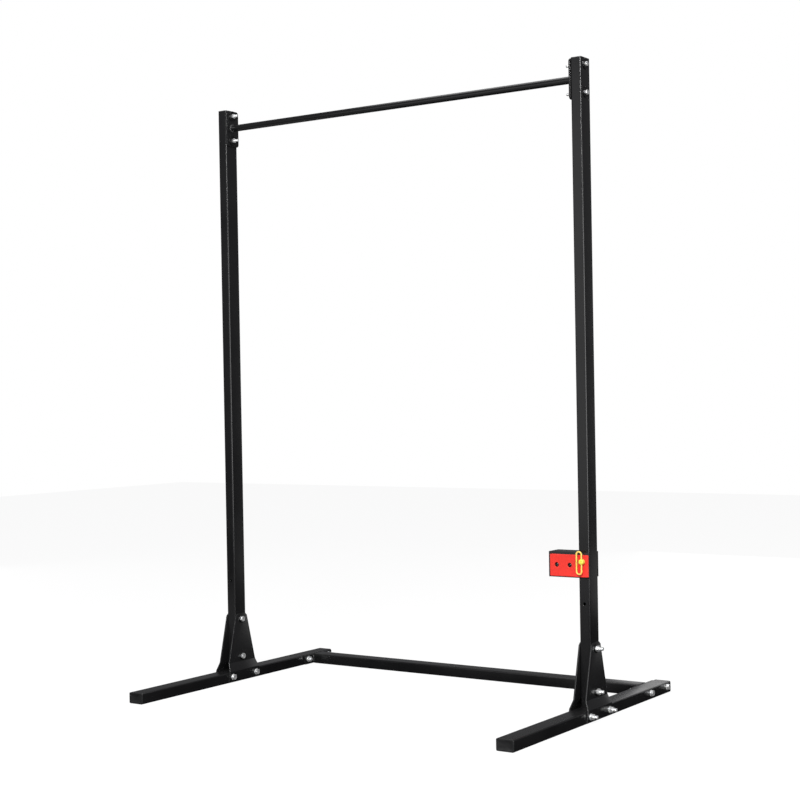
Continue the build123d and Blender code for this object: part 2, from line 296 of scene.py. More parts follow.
def two_tints(tree, pattern, first, second, most=1.0):
    """One colour passing into another where a slow pattern is high, at most by a share."""
    return mix_colour(tree, map_range(tree, pattern, *PATCHES, 0.0, most), first, second)


def drifting_gloss(tree, one, one_share, other, other_share, span, rough):
    """Roughness about a value, from the weighted sum of two patterns over a span."""
    blend = plus(tree, times(tree, one, one_share), times(tree, other, other_share))
    return map_range(tree, blend, *span, rough - BARE_DRIFT[0], rough + BARE_DRIFT[1])


def coated_steel(name, colour, worn, gloss, dust=0.14, dusty=(0.07, 0.07, 0.07)):
    """Powder-coated steel: orange peel, drifting gloss, worn edges and a little dust."""
    mat, shader = new_material(name)
    tree = mat.node_tree
    skin = add_group(mat, powder_skin, Gloss_Low=gloss - COAT_DRIFT[0],
                     Gloss_High=gloss + COAT_DRIFT[1])
    wear = add_group(mat, edge_wear, Radius=0.003, Breakup_Scale=30.0)
    dirt = add_group(mat, settled_dust, Amount=dust)
    paler, lift, rub, dull = 1.25, 0.002, 0.5, 0.5
    lighter = tuple(min(1.0, c * paler + lift) for c in colour)
    base = two_tints(tree, skin.outputs["Drift"], colour, lighter)
    base = mix_colour(tree, times(tree, wear.outputs["Mask"], rub), base, worn)
    base = mix_colour(tree, dirt.outputs["Mask"], base, dusty)
    rough = plus(tree, skin.outputs["Roughness"], times(tree, dirt.outputs["Mask"], dull))
    dress(tree, shader, base, rough, skin.outputs["Height"], PEEL_MM)
    return mat


def bright_metal(name, cool, warm, rough, streak, streak_scale, bump_mm, metallic=1.0,
                 worn_edge_and_glint=None):
    """Bare or plated metal: two tints in soft patches, and fine streaks in gloss and height.

    A colour for worn edges, where given, is painted along every edge: partly bare metal through
    worn plating, partly a painted highlight standing in for glints on rims.
    """
    mat, shader = new_material(name)
    tree = mat.node_tree
    coords = object_coords(tree)
    stretch = tree.nodes.new("ShaderNodeMapping")
    stretch.inputs["Scale"].default_value = streak
    link(tree, coords, stretch.inputs["Vector"])
    fine = noise(tree, stretch.outputs["Vector"], streak_scale, 4.0)
    patch = noise(tree, coords, METAL_PATCH_SCALE, 3.0)
    base = two_tints(tree, patch, cool, warm)
    # Pale edges: worn plating, and a painted highlight for rim glints
    if worn_edge_and_glint:
        wear = add_group(mat, edge_wear, Radius=0.0009, Breakup_Scale=260.0)
        base = mix_colour(tree, wear.outputs["Mask"], base, worn_edge_and_glint)
    shader.inputs["Metallic"].default_value = metallic
    dress(tree, shader, base, drifting_gloss(tree, fine, 0.5, patch, 0.5, PATCHES, rough), fine,
          bump_mm)
    return mat


def moulded_plastic(name, colour, lighter, rough, grain_scale, grain_mm, subsurface=0.0):
    """Moulded plastic: fine spark-eroded grain, slow flow marks, and paler worn edges."""
    mat, shader = new_material(name)
    tree = mat.node_tree
    coords = object_coords(tree)
    grain = noise(tree, coords, grain_scale, 2.0)
    flow = noise(tree, coords, FLOW_SCALE, 4.0, 0.6)
    wear = add_group(mat, edge_wear)
    flow_share, rub = 0.6, 0.6
    base = two_tints(tree, flow, colour, lighter, flow_share)
    base = mix_colour(tree, times(tree, wear.outputs["Mask"], rub), base, lighter)
    if subsurface:
        shader.inputs["Subsurface Weight"].default_value = subsurface
        shader.inputs["Subsurface Radius"].default_value = (0.004, 0.003, 0.001)
        shader.inputs["Subsurface Scale"].default_value = 0.5
    dress(tree, shader, base, drifting_gloss(tree, flow, 0.7, grain, 0.3, (0.3, 0.7), rough),
          grain, grain_mm)
    return mat


FINISHES = {
    "black_coat": coated_steel(
        "Black powder coat", (0.0050, 0.0050, 0.0054), worn=(0.028, 0.028, 0.029), gloss=0.20),
    "red_coat": coated_steel(
        "Red powder coat", (0.71, 0.030, 0.020), worn=(0.9, 0.2, 0.16), gloss=0.34, dust=0.05,
        dusty=(0.7, 0.3, 0.25)),
    # Its pale edge colour is partly wear and partly a painted highlight: bright rims for glints
    "black_hardware": bright_metal(
        "Black plated steel", cool=(0.045, 0.045, 0.05), warm=(0.07, 0.068, 0.066), rough=0.28,
        streak=(1, 1, 1), streak_scale=700.0, bump_mm=0.02, worn_edge_and_glint=(0.62, 0.63, 0.65)),
    "zinc": bright_metal(
        "Bright zinc plate", cool=(0.88, 0.91, 0.95), warm=(0.96, 0.95, 0.91), rough=0.36,
        streak=(1, 1, 0.25), streak_scale=900.0, bump_mm=0.02, metallic=0.8),
    "bright_steel": bright_metal(
        "Turned steel", cool=(0.62, 0.62, 0.64), warm=(0.70, 0.69, 0.67), rough=0.24,
        streak=(0.02, 1, 0.02), streak_scale=2600.0, bump_mm=0.01),
    "black_plastic": moulded_plastic(
        "Black moulded plastic", (0.008, 0.008, 0.0085), lighter=(0.018, 0.018, 0.0185),
        rough=0.44, grain_scale=1500.0, grain_mm=0.04),
    "yellow_plastic": moulded_plastic(
        "Yellow moulded plastic", (0.78, 0.72, 0.07), lighter=(0.86, 0.80, 0.17), rough=0.38,
        grain_scale=1200.0, grain_mm=0.02, subsurface=0.1),
    "yellow_coat": moulded_plastic(
        "Yellow dipped plastic skin", (0.96, 0.60, 0.11), lighter=(0.98, 0.68, 0.18), rough=0.32,
        grain_scale=260.0, grain_mm=0.06, subsurface=0.1),
}

for node, shape in frame["nodes"].items():
    shape.data.materials.clear()
    shape.data.materials.append(FINISHES[slot_of[node]])


# ------------------------------------------------------------------ surfaces

def rounded_loop(half_w, half_h, corner, steps):
    """Rounded rectangle: four quarter circles about the corner centres, joined by straights."""
    swing = np.linspace(0, np.pi / 2, steps + 1)
    angle = (np.arange(4)[:, None] * np.pi / 2 + swing).ravel()
    side_u = np.repeat([1, -1, -1, 1], steps + 1)
    side_v = np.repeat([1, 1, -1, -1], steps + 1)
    return np.stack([side_u * (half_w - corner) + corner * np.cos(angle),
                     side_v * (half_h - corner) + corner * np.sin(angle)], axis=1)


def stacked(origin, u_dir, v_dir, axis, rings, wrap=False, steps=6):
    """Rounded rectangles (half width, half height, corner, distance) joined along an axis."""
    loops = np.stack([rounded_loop(w, h, c, steps) for w, h, c, _ in rings])
    depth = np.array([r[3] for r in rings])[:, None, None]
    points = origin + loops[..., :1] * u_dir + loops[..., 1:] * v_dir + depth * axis
    return points.reshape(-1, 3), quads(len(rings), loops.shape[1], wrap, True)


def quarter_round(edge, steps=3):
    """Inset and rise of a rim's quarter circle, from the flat to the side."""
    swing = np.linspace(0, np.pi / 2, steps + 1)
    return edge * (1 - np.sin(swing)), edge * (1 - np.cos(swing))


def rim(half_w, half_h, corner, start, way, edge):
    """Rings of a quarter-round rim that starts at a distance and goes one way along the axis."""
    return [(half_w - i, half_h - i, max(corner - i, 0.0), start + way * r)
            for i, r in zip(*quarter_round(edge))]


def plate_rings(half_w, half_h, corner, thick, edge):
    """Plate as rings: back centre, back rim, front rim, front centre."""
    return ([(0, 0, 0, 0)] + rim(half_w, half_h, corner, 0, 1, edge)
            + rim(half_w, half_h, corner, thick, -1, edge)[::-1] + [(0, 0, 0, thick)])


def lie_of(low, high, axis):
    """How a box lies about an axis: its centre, its half sizes and its directions.

    Of the three half sizes and directions, two are across the axis and the last is along it.
    """
    order = [i for i in range(3) if i != axis] + [axis]
    return (low + high) / 2, ((high - low) / 2)[order], np.eye(3)[order]


def rounded_plate(low, high, axis, corner, edge):
    """Plate that fills a box, its corners rounded across one axis and all its rims rounded."""
    centre, (half_w, half_h, half_t), dirs = lie_of(low, high, axis)
    centre[axis] = low[axis]
    return stacked(centre, *dirs, plate_rings(half_w, half_h, corner, 2 * half_t, edge))


def turned(centre, axis, u_dir, v_dir, along, radius, wrap=False):
    """Profile turned about an axis: each row lies at one distance along, at its own radii."""
    segments = radius.shape[1]
    angle = np.arange(segments) * TURN / segments
    spoke = np.cos(angle)[:, None] * u_dir + np.sin(angle)[:, None] * v_dir
    points = centre + along[:, None, None] * axis + radius[..., None] * spoke
    return points.reshape(-1, 3), quads(len(along), segments, wrap, True)


def lathe_rows(profile, segments=SEGMENTS):
    """Rows for turned() from (distance, radius) pairs, a radius being a number or an array."""
    along = np.array([p[0] for p in profile], float)
    radius = np.stack([np.broadcast_to(np.asarray(p[1], float), (segments,)) for p in profile])
    return along, radius


def bent_plate(origin, p_dir, q_dir, w_dir, corners, bend, thick, half_width, edge, breaks=()):
    """Plate carried along a polyline of its middle surface, in the (p, q) plane.

    Each inner corner is an arc of the bend radius, the section is a thin rounded rectangle as
    wide as half_width(q) says, and both ends are rounded like the long edges.  A break is a q
    where the width's slope changes.
    """
    corners = np.asarray(corners, float)
    legs = np.diff(corners, axis=0)
    headings = np.unwrap(np.arctan2(legs[:, 1], legs[:, 0]))
    spots, angles = [corners[0]], [headings[0]]
    for corner, leg_in, h0, h1 in zip(corners[1:-1], legs, headings, headings[1:]):
        reach = bend * abs(np.tan((h1 - h0) / 2))
        begin = corner - reach * leg_in / np.linalg.norm(leg_in)
        for h in np.linspace(h0, h1, 7):
            turn = np.sign(h1 - h0) * bend
            spots.append(begin + turn * np.array([np.sin(h) - np.sin(h0), np.cos(h0) - np.cos(h)]))
            angles.append(h)
    spots.append(corners[-1])
    angles.append(headings[-1])
    spots, angles = np.array(spots), np.array(angles)
    for q in breaks:
        k = int(np.searchsorted(spots[:, 1], q))
        share = (q - spots[k - 1, 1]) / (spots[k, 1] - spots[k - 1, 1])
        spots = np.insert(spots, k, spots[k - 1] + share * (spots[k] - spots[k - 1]), axis=0)
        angles = np.insert(angles, k, angles[k - 1])
    heading = np.stack([np.cos(angles), np.sin(angles)], axis=1)
    inset, rise = quarter_round(edge)
    first = spots[0] + rise[:, None] * heading[0]
    last = spots[-1] - rise[::-1, None] * heading[-1]
    insets = np.concatenate([inset, np.zeros(len(spots) - 2), inset[::-1]])
    spots = np.concatenate([first, spots[1:-1], last])
    angles = np.concatenate([np.repeat(angles[0], len(rise)), angles[1:-1],
                             np.repeat(angles[-1], len(rise))])
    wide = np.array([half_width(q) for q in spots[:, 1]])
    loops = np.stack([rounded_loop(w - i, thick / 2 - i, max(edge - i, 1e-5), 3)
                      for w, i in zip(wide, insets)])
    normal = np.stack([-np.sin(angles), np.cos(angles)], axis=1)[:, None, :]
    flat = spots[:, None, :] + loops[..., 1:] * normal
    points = origin + flat[..., :1] * p_dir + flat[..., 1:] * q_dir + loops[..., :1] * w_dir
    rows, cols = points.shape[:2]
    ends = [list(range(cols)), list(range((rows - 1) * cols, rows * cols))]
    return points.reshape(-1, 3), quads(rows, cols, False, True).tolist() + ends


# How far each row round a hole lies from its circle out to its block's edge
HOLE_SHARES = np.array([0.0, 0.12, 0.4, 1.0])


def holed_strip(stations, across, holes, steps=10):
    """Flat strip with round holes, in its own (along, across) coordinates.

    Between two stations lies a plain block, or one with a hole (along, across, radius) in it:
    rows that run from the hole's circle out to the block's edge.  Returns the blocks, each
    hole's centre, radius and the directions round it, and the stations of the long edges.
    """
    v = np.linspace(across[0], across[1], steps + 1)
    blocks, rounds, marks = [], [], [stations[0]]
    for u0, u1 in zip(stations[:-1], stations[1:]):
        inside = [h for h in holes if u0 < h[0] < u1]
        if not inside:
            uu, vv = np.meshgrid([u0, u1], v, indexing="ij")
            blocks.append((np.stack([uu, vv], -1).reshape(-1, 2), quads(2, len(v))))
            marks.append(u1)
            continue
        centre, radius = np.array(inside[0][:2]), inside[0][2]
        u = np.linspace(u0, u1, steps + 1)
        border = np.concatenate([np.stack(side, 1) for side in (
            (np.full(steps, u0), v[:-1]), (u[:-1], np.full(steps, v[-1])),
            (np.full(steps, u1), v[:0:-1]), (u[:0:-1], np.full(steps, v[0])))])
        spoke = border - centre
        spoke /= np.linalg.norm(spoke, axis=1)[:, None]
        circle = centre + radius * spoke
        share = HOLE_SHARES[:, None, None]
        blocks.append(((circle + share * (border - circle)).reshape(-1, 2),
                       quads(len(share), len(border), False, True)))
        rounds.append((centre, radius, spoke))
        marks.extend(u[1:])
    return blocks, rounds, np.array(marks), v


def hole_wall(place, centre, radius, spoke, thick, edge):
    """Wall of a hole with both rims rounded; place(u, v, depth) puts it into space."""
    inset, rise = quarter_round(edge)
    radii = radius - edge + np.r_[inset, inset[::-1]]
    depth = np.r_[rise, thick - rise[::-1]]
    flat = centre + radii[:, None, None] * spoke
    deep = np.broadcast_to(depth[:, None], flat.shape[:2])
    points = place(flat[..., 0], flat[..., 1], deep)
    return points.reshape(-1, 3), quads(len(radii), len(spoke), False, True)


def pierced(place, blocks, rounds, thick, edge):
    """Both faces of a holed strip and the walls of its holes, put into space by place()."""
    faces = [(place(*points.T, np.full(len(points), depth)), cells)
             for depth in (0.0, thick) for points, cells in blocks]
    return faces + [hole_wall(place, *hole, thick, edge) for hole in rounds]


# Shares of a bead's leg: its face's bulge, its sunk root, its least size and its ripple
BEAD_BULGE, BEAD_ROOT, BEAD_LEAST, BEAD_RIPPLE = 0.16, 0.08, 0.9, 0.13


def weld_bead(root, a_dir, b_dir, leg, travel, pitch, closed, fade=0.0):
    """Fillet weld carried along its root line, between directions a and b.

    The face bulges between its two toes, and its size ripples with the travel as each pool
    overlaps the last.  A bead that isn't closed shrinks towards both of its ends.
    """
    t = np.linspace(0, 1, 7)
    bulge = BEAD_BULGE * np.sin(np.pi * t)
    section = np.r_[np.stack([1 - t + bulge, t + bulge], 1), [[-BEAD_ROOT, -BEAD_ROOT]]]
    size = leg * (BEAD_LEAST + BEAD_RIPPLE * np.abs(np.sin(np.pi * travel / pitch)))
    if fade:
        near = np.minimum(travel, travel[-1] - travel) / fade
        size = size * np.sqrt(np.clip(1 - (1 - np.clip(near, 0, 1)) ** 2, 0.02, 1))
    points = (root[:, None, :] + size[:, None, None]
              * (section[:, :1] * a_dir[:, None, :] + section[:, 1:] * b_dir[:, None, :]))
    rows, cols = points.shape[:2]
    faces = quads(rows, cols, closed, True).tolist()
    if not closed:
        faces += [list(range(cols)), list(range((rows - 1) * cols, rows * cols))]
    return points.reshape(-1, 3), faces


# ------------------------------------------------------------------ tubes and bar

TUBE_WALL, TUBE_CORNER, TUBE_RIM = 0.003, 0.006, 0.0005
PIN_HOLE, HOLE_RIM, HOLE_REACH = 0.0065, 0.0008, 0.025
SPARE_HOLE_Z = 0.492
PIN_Z = (box_of("pull_pin_knob")[0][2] + box_of("pull_pin_knob")[1][2]) / 2


def straight_tube(node, axis):
    """Rounded rectangular tube with a real wall, between the two ends of its node's box."""
    centre, (w, h, reach), dirs = lie_of(*box_of(node), axis)
    bore = (w - TUBE_WALL, h - TUBE_WALL, TUBE_CORNER - TUBE_WALL)
    rings = (rim(w, h, TUBE_CORNER, -reach, 1, TUBE_RIM)
             + rim(w, h, TUBE_CORNER, reach, -1, TUBE_RIM)[::-1]
             + [(*bore, reach), (*bore, -reach)])
    stand_for(node, "tube", [stacked(centre, *dirs, rings, wrap=True, steps=8)])


def upright_tube(node, hole_heights):
    """Upright with pin holes in its front wall, their rims rounded by the coat.

    The section is carried up the tube, and its front is a strip that the holes pierce.
    """
    low, high = box_of(node)
    centre, half = (low + high) / 2, (high - low) / 2
    stations = [low[2]]
    for z in hole_heights:
        stations += [z - HOLE_REACH, z + HOLE_REACH]
    stations.append(high[2])
    flat = half[0] - TUBE_CORNER
    blocks, rounds, marks, _ = holed_strip(
        stations, (-flat, flat), [(z, 0.0, PIN_HOLE + HOLE_RIM) for z in hole_heights])

    def on_front(along, across, depth):
        return np.stack([centre[0] + across, low[1] + depth, along + 0 * depth], axis=-1)

    parts, ends = pierced(on_front, blocks, rounds, TUBE_WALL, HOLE_RIM), []
    for inset in (0.0, TUBE_WALL):
        loop = rounded_loop(half[0] - inset, half[1] - inset, TUBE_CORNER - inset, 8)
        ends.append(loop)
        loop = np.roll(loop, len(loop) // 4, axis=0)
        skin = np.empty((len(marks), len(loop), 3))
        skin[..., :2] = centre[:2] + loop
        skin[..., 2] = marks[:, None]
        parts.append((skin.reshape(-1, 3), quads(len(marks), len(loop))))
    for z in (low[2], high[2]):
        ring = np.concatenate([np.c_[e + centre[:2], np.full(len(e), z)] for e in ends])
        parts.append((ring, quads(2, len(ends[0]), False, True)))
    stand_for(node, "tube", parts)


def round_bar():
    """Round bar: a circle carried along X, its ends chamfered where they meet the flanges."""
    low, high = box_of("round_bar")
    radius, length, chamfer = (high[2] - low[2]) / 2, high[0] - low[0], 0.001
    centre = (low + high) / 2
    centre[0] = low[0]
    profile = [(0, 0), (0, radius - chamfer), (chamfer, radius), (length - chamfer, radius),
               (length, radius - chamfer), (length, 0)]
    stand_for("round_bar", "rod", [turned(centre, X, Y, Z, *lathe_rows(profile, 2 * SEGMENTS))])


# ------------------------------------------------------------------ plates and welds

GUSSET_T, BEND_HIGH, BEND_LOW, BEND_RADIUS = 0.006, 0.092, 0.054, 0.008
GUSSET_TOP_HALF, CLIP_Y, CLIP_Z = 0.042, 0.014, 0.011
GUSSET_EDGE, FLANGE_EDGE = 0.0015, 0.0012
CROSSMEMBER_CORNER, BAR_CORNER = 0.006, 0.015
WELD_LEG, POOL_PITCH, POOL_STEPS, BEAD_FADE = 0.006, 0.0032, 6, 0.004


def gusset_plate(node, side):
    """Gusset: flat on the upright, stepped outwards onto the leg, narrowing towards its top."""
    low, high = box_of(node)
    upright_low, upright_high = box_of(node.split("_")[0] + "_upright")
    leg_low, leg_high = box_of(node.split("_")[0] + "_floor_leg")
    centre_x = (leg_low[0] + leg_high[0]) / 2
    half_t = GUSSET_T / 2
    on_upright = (upright_high[0] - upright_low[0]) / 2 + half_t
    on_leg = (leg_high[0] - leg_low[0]) / 2 + half_t
    slope = np.arctan2(on_leg - on_upright, BEND_HIGH - BEND_LOW)
    rise = half_t * np.tan(slope / 2)
    corners = [(on_leg, low[2]), (on_leg, BEND_LOW + rise), (on_upright, BEND_HIGH + rise),
               (on_upright, high[2])]
    knee = high[2] - CLIP_Z

    def half_width(z):
        """Straight from the foot's half width to the top's, then the clipped corner."""
        return np.interp(z, [low[2], knee, high[2]],
                         [high[1], GUSSET_TOP_HALF, GUSSET_TOP_HALF - CLIP_Y])

    plate = bent_plate(np.array([centre_x, 0, 0]), side * X, Z, Y, corners, BEND_RADIUS, GUSSET_T,
                       half_width, GUSSET_EDGE, breaks=(knee,))
    stand_for(node, "plate", [plate], PLATE_ANGLE)


def flange_plate(node, corner):
    """Welded end flange: flat plate with rounded corners and softened rims."""
    stand_for(node, "plate", [rounded_plate(*box_of(node), 0, corner, FLANGE_EDGE)])


def bar_weld(side, sign):
    """Bead all round the bar, against its flange."""
    low, high = box_of(f"{side}_bar_weld")
    bar_low, bar_high = box_of("round_bar")
    face = high[0] if sign > 0 else low[0]
    radius, centre = (bar_high[2] - bar_low[2]) / 2, (bar_low + bar_high) / 2
    pools = round(TURN * radius / POOL_PITCH)
    angle = np.arange(pools * POOL_STEPS) * TURN / (pools * POOL_STEPS)
    spoke = np.cos(angle)[:, None] * Y + np.sin(angle)[:, None] * Z
    root = np.array([face, centre[1], centre[2]]) + radius * spoke
    bead = weld_bead(root, np.broadcast_to(-sign * X, root.shape), spoke, WELD_LEG,
                     angle / TURN * pools, 1.0, True)
    stand_for(f"{side}_bar_weld", "bead", [bead], BEAD_ANGLE)


def crossmember_weld(side, sign):
    """One upright bead in front of the crossmember and one behind it, against the flange."""
    low, high = box_of(f"{side}_crossmember_weld")
    tube_low, tube_high = box_of("rear_crossmember")
    face = high[0] if sign > 0 else low[0]
    travel = np.arange(0, high[2] - low[2], POOL_PITCH / POOL_STEPS)
    beads = []
    for y, out in ((tube_low[1], -Y), (tube_high[1], Y)):
        root = np.array([face, y, low[2]]) + travel[:, None] * Z
        beads.append(weld_bead(root, np.broadcast_to(-sign * X, root.shape),
                               np.broadcast_to(out, root.shape), WELD_LEG, travel, POOL_PITCH,
                               False, fade=BEAD_FADE))
    stand_for(f"{side}_crossmember_weld", "bead", beads, BEAD_ANGLE)


def end_cap(node, axis, way):
    """Moulded cap: flange with a soft rim and a shallow sunk panel, and a hollow plug behind it."""
    low, high = box_of(node)
    centre, (w, h, reach), (u_dir, v_dir, along) = lie_of(low, high, axis)
    flange, gap, wall, inner = 0.004, 0.0001, 0.003, 0.003
    front_rim, back_rim, lead_in = 0.0014, 0.0004, 0.001
    # Sunk panel: how deep, how wide its border, and how its edge steps up to the face
    sunk, border, foot, brow, mid_share = 0.0005, 0.007, 0.0008, 0.0006, 0.4
    plug_w, plug_h, plug = w - TUBE_WALL - gap, h - TUBE_WALL - gap, 2 * reach - flange
    centre[axis] = high[axis] - flange if way > 0 else low[axis] + flange

    def panel(grow, distance):
        return w - border + grow, h - border + grow, inner, distance

    rings = [(0, 0, 0, flange - sunk), panel(-foot, flange - sunk),
             panel(0.0, flange - mid_share * sunk), panel(brow, flange)]
    rings += rim(w, h, TUBE_CORNER, flange, -1, front_rim)
    rings += rim(w, h, TUBE_CORNER, 0.0, 1, back_rim)[::-1]
    rings += [(plug_w, plug_h, inner, 0), (plug_w, plug_h, inner, lead_in - plug),
              (plug_w - lead_in, plug_h - lead_in, inner - lead_in, -plug),
              (plug_w - wall, plug_h - wall, lead_in, -plug),
              (plug_w - wall, plug_h - wall, lead_in, 0), (0, 0, 0, 0)]
    cap = stacked(centre, u_dir, v_dir, way * along, rings)
    stand_for(node, "moulding", [cap], PLATE_ANGLE)


# ------------------------------------------------------------------ fasteners

# Across flats, radius, pitch and depth of each thread size
M12, M16 = (0.019, 0.006, 0.00175, 0.00095), (0.024, 0.008, 0.002, 0.0011)
# Shares of the width across flats: corner and face radius, chamfer, and the head's sunk top
CORNER_SHARE, FACE_SHARE, CHAMFER_SHARE = 0.568, 0.47, 0.058
DISH_SHARE, DISH_RIM_SHARE = 0.3, 0.345
HEAD_DISH, HEAD_STAND, TIP_CHAMFER, TIP_CUT, NUT_SINK = 0.0003, 0.0004, 0.0012, 0.0013, 0.0006
WASHER_THICK, WASHER_RIM, WASHER_PLAY = 0.003, 0.0005, 0.0006
# How far in radians a pair's second bolt and each nut are turned on, so no two look alike
NEXT_SPIN, NUT_SPIN = 1.9, 0.7
FIRST_SPIN, GROUP_SPIN, SIDE_SPIN = 0.4, 0.63, 0.31
# A thread's flanks are this much steeper than a plain zigzag, and its crests this much wider
THREAD_STEEP, THREAD_CREST = 1.25, 0.12


def hexagon(across_flats):
    """Radius of a hexagon against angle, its corners slightly blunted."""
    angle = np.arange(SEGMENTS) * TURN / SEGMENTS
    flat = across_flats / 2 / np.cos(angle % (TURN / 6) - TURN / 12)
    return np.minimum(flat, CORNER_SHARE * across_flats)


def chamfered(across_flats, depth):
    """Hexagon cut by a 30 degree cone, at a depth under the face."""
    return np.minimum(hexagon(across_flats), FACE_SHARE * across_flats + np.sqrt(3) * depth)


def chamfer_rows(flats, start, way):
    """Rows of a hexagon's chamfer from the face at start, one way along the axis."""
    return [(start + way * d, chamfered(flats, d))
            for d in np.linspace(0, CHAMFER_SHARE * flats, 6)]


def spun(spin, way):
    """Two directions across X, turned by an angle, for a profile that runs along way * X."""
    return np.cos(spin) * Y + np.sin(spin) * Z, way * (np.cos(spin) * Z - np.sin(spin) * Y)


def thread_rows(thread, start, end):
    """Rows of a screw thread, its tip cut by a cone.

    The radius falls and rises once a pitch along the axis and once a turn round it.
    """
    _, radius, pitch, depth = thread
    angle = np.arange(SEGMENTS) * TURN / SEGMENTS
    along = np.arange(start, end, pitch / 8)
    phase = (along[:, None] / pitch - angle / TURN) % 1.0
    groove = np.clip(THREAD_STEEP * np.abs(2 * phase - 1) - THREAD_CREST, 0, 1)
    cone = radius - np.clip(along - (end - TIP_CHAMFER), 0, None)[:, None]
    return list(zip(along, np.minimum(radius - depth * (1 - groove), cone)))


def fastener_places(node):
    """Centres of a pair of fasteners in line, from the box of their round washers."""
    low, high = box_of(node)
    size = high - low
    round_half = min(size[1], size[2]) / 2
    middle = (low + high) / 2
    line = 1 if size[1] > size[2] else 2
    first, second = middle.copy(), middle.copy()
    first[line], second[line] = low[line] + round_half, high[line] - round_half
    return [first, second], round_half


def fastener_set(name, thread, turn_start, level_nuts):
    """Two through bolts along X, each with a head, two washers and a nut on its thread.

    Level nuts stand with a flat upwards; the others are turned as they happened to tighten.
    """
    flats, bolt_r = thread[:2]
    bolt_low, bolt_high = box_of(name + "_bolts")
    nut_low, nut_high = box_of(name + "_nuts")
    washer_low, washer_high = box_of(name + "_washers")
    way = 1 if nut_low[0] > (bolt_low[0] + bolt_high[0]) / 2 else -1
    under_head = washer_low[0] if way > 0 else washer_high[0]
    head = under_head - bolt_low[0] if way > 0 else bolt_high[0] - under_head
    nut_start = nut_low[0] if way > 0 else nut_high[0]
    nut_h = nut_high[0] - nut_low[0]
    total = bolt_high[0] - bolt_low[0] - head
    nut_at = abs(nut_start - under_head)
    thread_at = nut_at + 0.5 * nut_h
    face_r = FACE_SHARE * flats
    bolt_rows = ([(HEAD_DISH - head, 0), (HEAD_DISH - head, DISH_SHARE * flats),
                  (-head, DISH_RIM_SHARE * flats)] + chamfer_rows(flats, -head, 1)
                 + [(-HEAD_STAND, hexagon(flats)), (-HEAD_STAND, face_r), (0, face_r),
                    (0, bolt_r), (thread_at, bolt_r)] + thread_rows(thread, thread_at, total)
                 + [(total, bolt_r - TIP_CUT), (total, 0)])
    nut_rows = ([(NUT_SINK, bolt_r), (0, bolt_r + NUT_SINK)] + chamfer_rows(flats, 0.0, 1)
                + chamfer_rows(flats, nut_h, -1)[::-1]
                + [(nut_h, bolt_r + NUT_SINK), (nut_h - NUT_SINK, bolt_r)])
    places, washer_r = fastener_places(name + "_washers")
    hole = bolt_r + WASHER_PLAY
    half_r, half_t = (washer_r - hole) / 2, WASHER_THICK / 2
    loop = rounded_loop(half_t, half_r, WASHER_RIM, 3)
    washer_radius = np.repeat((hole + half_r + loop[:, 1])[:, None], SEGMENTS, axis=1)
    bolts, nuts, washers = [], [], []
    for k, place in enumerate(places):
        centre = np.array([under_head, place[1], place[2]])
        spin = turn_start + NEXT_SPIN * k
        bolts.append(turned(centre, way * X, *spun(spin, way), *lathe_rows(bolt_rows)))
        nut_spin = 0.0 if level_nuts else spin + NUT_SPIN
        nuts.append(turned(centre + way * nut_at * X, way * X, *spun(nut_spin, way),
                           *lathe_rows(nut_rows), wrap=True))
        for x in (half_t, nut_at - half_t):
            washers.append(turned(centre + way * x * X, X, Y, Z, loop[:, 0], washer_radius,
                                  wrap=True))
    for suffix, parts in (("_bolts", bolts), ("_nuts", nuts), ("_washers", washers)):
        stand_for(name + suffix, "turned", parts, TURNED_ANGLE)


# ------------------------------------------------------------------ foot step and pull pin

STEP_WALL, STEP_EDGE, STEP_GAP, STEP_SEAM = 0.004, 0.0008, 0.0003, 0.0002
SCREW_X, SCREW_Z, SCREW_RECESS = (0.850, 0.912), 0.655, 0.010
PIN_R, PIN_GUIDE = 0.006, 0.00608


def foot_step_body():
    """Folded sheet box: one strip bent round three sides, with top, bottom and end plates."""
    low, high = box_of("foot_step_body")
    end_x = box_of("right_upright")[0][0] - STEP_GAP
    mid_z, half_z = (low[2] + high[2]) / 2, (high[2] - low[2]) / 2
    half_t, bend, corner, end_edge = STEP_WALL / 2, 0.003, 0.001, 0.0005
    deep, inner = high[1] - half_t, high[1] - STEP_WALL
    corners = [(high[0], -deep), (low[0] + half_t, -deep), (low[0] + half_t, deep),
               (high[0], deep)]
    parts = [bent_plate(np.array([0, 0, mid_z]), X, Y, Z, corners, bend, STEP_WALL,
                        lambda q: half_z, STEP_EDGE)]
    for z0 in (low[2] + STEP_SEAM, high[2] - STEP_WALL - STEP_SEAM):
        parts.append(rounded_plate(np.array([low[0] + STEP_WALL, -inner, z0]),
                                   np.array([end_x, inner, z0 + STEP_WALL]),
                                   2, corner, STEP_EDGE))
    parts.append(rounded_plate(np.array([end_x - STEP_WALL, -inner, low[2] + STEP_WALL]),
                               np.array([end_x, inner, high[2] - STEP_WALL]),
                               0, corner, end_edge))
    stand_for("foot_step_body", "shell", parts, PLATE_ANGLE)


